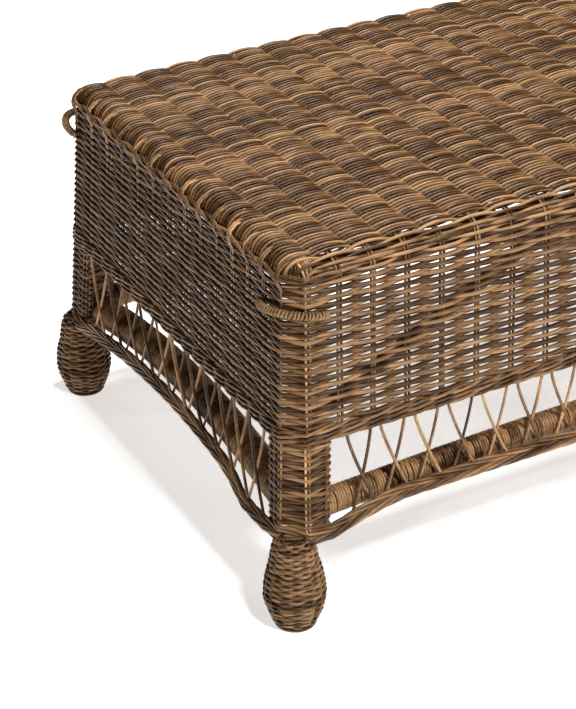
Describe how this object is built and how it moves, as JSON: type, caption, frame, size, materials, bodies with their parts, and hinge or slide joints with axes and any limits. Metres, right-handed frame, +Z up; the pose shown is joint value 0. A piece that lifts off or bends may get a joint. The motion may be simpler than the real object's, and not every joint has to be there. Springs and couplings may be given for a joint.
{
  "type": "wicker coffee table",
  "caption": "Low rectangular coffee table in woven rattan: ribbed woven top, flared woven sides, open crossed lattice, cane-wound stretchers and bun feet.",
  "frame": {"origin": "on the floor at the middle of the table's footprint", "axes": "+X along the long sides, +Y along the short sides towards the back, +Z up"},
  "size_m": [1.15, 0.663, 0.439],
  "materials": {
    "rattan_weave": "thin round rattan, clear lacquered, warm brown",
    "rattan_rope": "twisted rattan strands, clear lacquered",
    "cane_winding": "split cane wound round a core, satin",
    "rattan_pole": "peeled rattan pole, dull",
    "turned_wood": "plain turned wood, hidden under its winding",
    "screw_steel": "plain steel"
  },
  "bodies": {
    "root": {"corner_loop_back_left": "cane_winding", "corner_loop_back_right": "cane_winding", "corner_loop_front_left": "cane_winding", "corner_loop_front_right": "cane_winding", "cross_brace_1": "rattan_pole", "cross_brace_2": "rattan_pole", "cross_brace_lashing": "cane_winding", "edge_cord_left": "rattan_rope", "edge_cord_right": "rattan_rope", "foot_core_back_left": "turned_wood", "foot_core_back_right": "turned_wood", "foot_core_front_left": "turned_wood", "foot_core_front_right": "turned_wood", "foot_winding_back_left": "cane_winding", "foot_winding_back_right": "cane_winding", "foot_winding_front_left": "cane_winding", "foot_winding_front_right": "cane_winding", "frame_screws": "screw_steel", "lattice_back": "rattan_weave", "lattice_front": "rattan_weave", "lattice_left": "rattan_weave", "lattice_right": "rattan_weave", "leg_weave_back_left": "rattan_weave", "leg_weave_back_right": "rattan_weave", "leg_weave_front_left": "rattan_weave", "leg_weave_front_right": "rattan_weave", "lower_border_back": "rattan_rope", "lower_border_front": "rattan_rope", "lower_border_left": "rattan_rope", "lower_border_right": "rattan_rope", "post_back_left": "rattan_pole", "post_back_right": "rattan_pole", "post_front_left": "rattan_pole", "post_front_right": "rattan_pole", "rope_band_back": "rattan_rope", "rope_band_front": "rattan_rope", "rope_band_left": "rattan_rope", "rope_band_right": "rattan_rope", "side_weave_back": "rattan_weave", "side_weave_front": "rattan_weave", "side_weave_left": "rattan_weave", "side_weave_right": "rattan_weave", "stretcher_core_back": "rattan_pole", "stretcher_core_front": "rattan_pole", "stretcher_core_left": "rattan_pole", "stretcher_core_right": "rattan_pole", "stretcher_winding_back": "cane_winding", "stretcher_winding_front": "cane_winding", "stretcher_winding_left": "cane_winding", "stretcher_winding_right": "cane_winding", "top_bearer_1": "rattan_pole", "top_bearer_2": "rattan_pole", "top_bearer_3": "rattan_pole", "top_rail_back": "rattan_pole", "top_rail_front": "rattan_pole", "top_rail_left": "rattan_pole", "top_rail_right": "rattan_pole", "woven_top": "rattan_weave"}
  },
  "joints": []
}
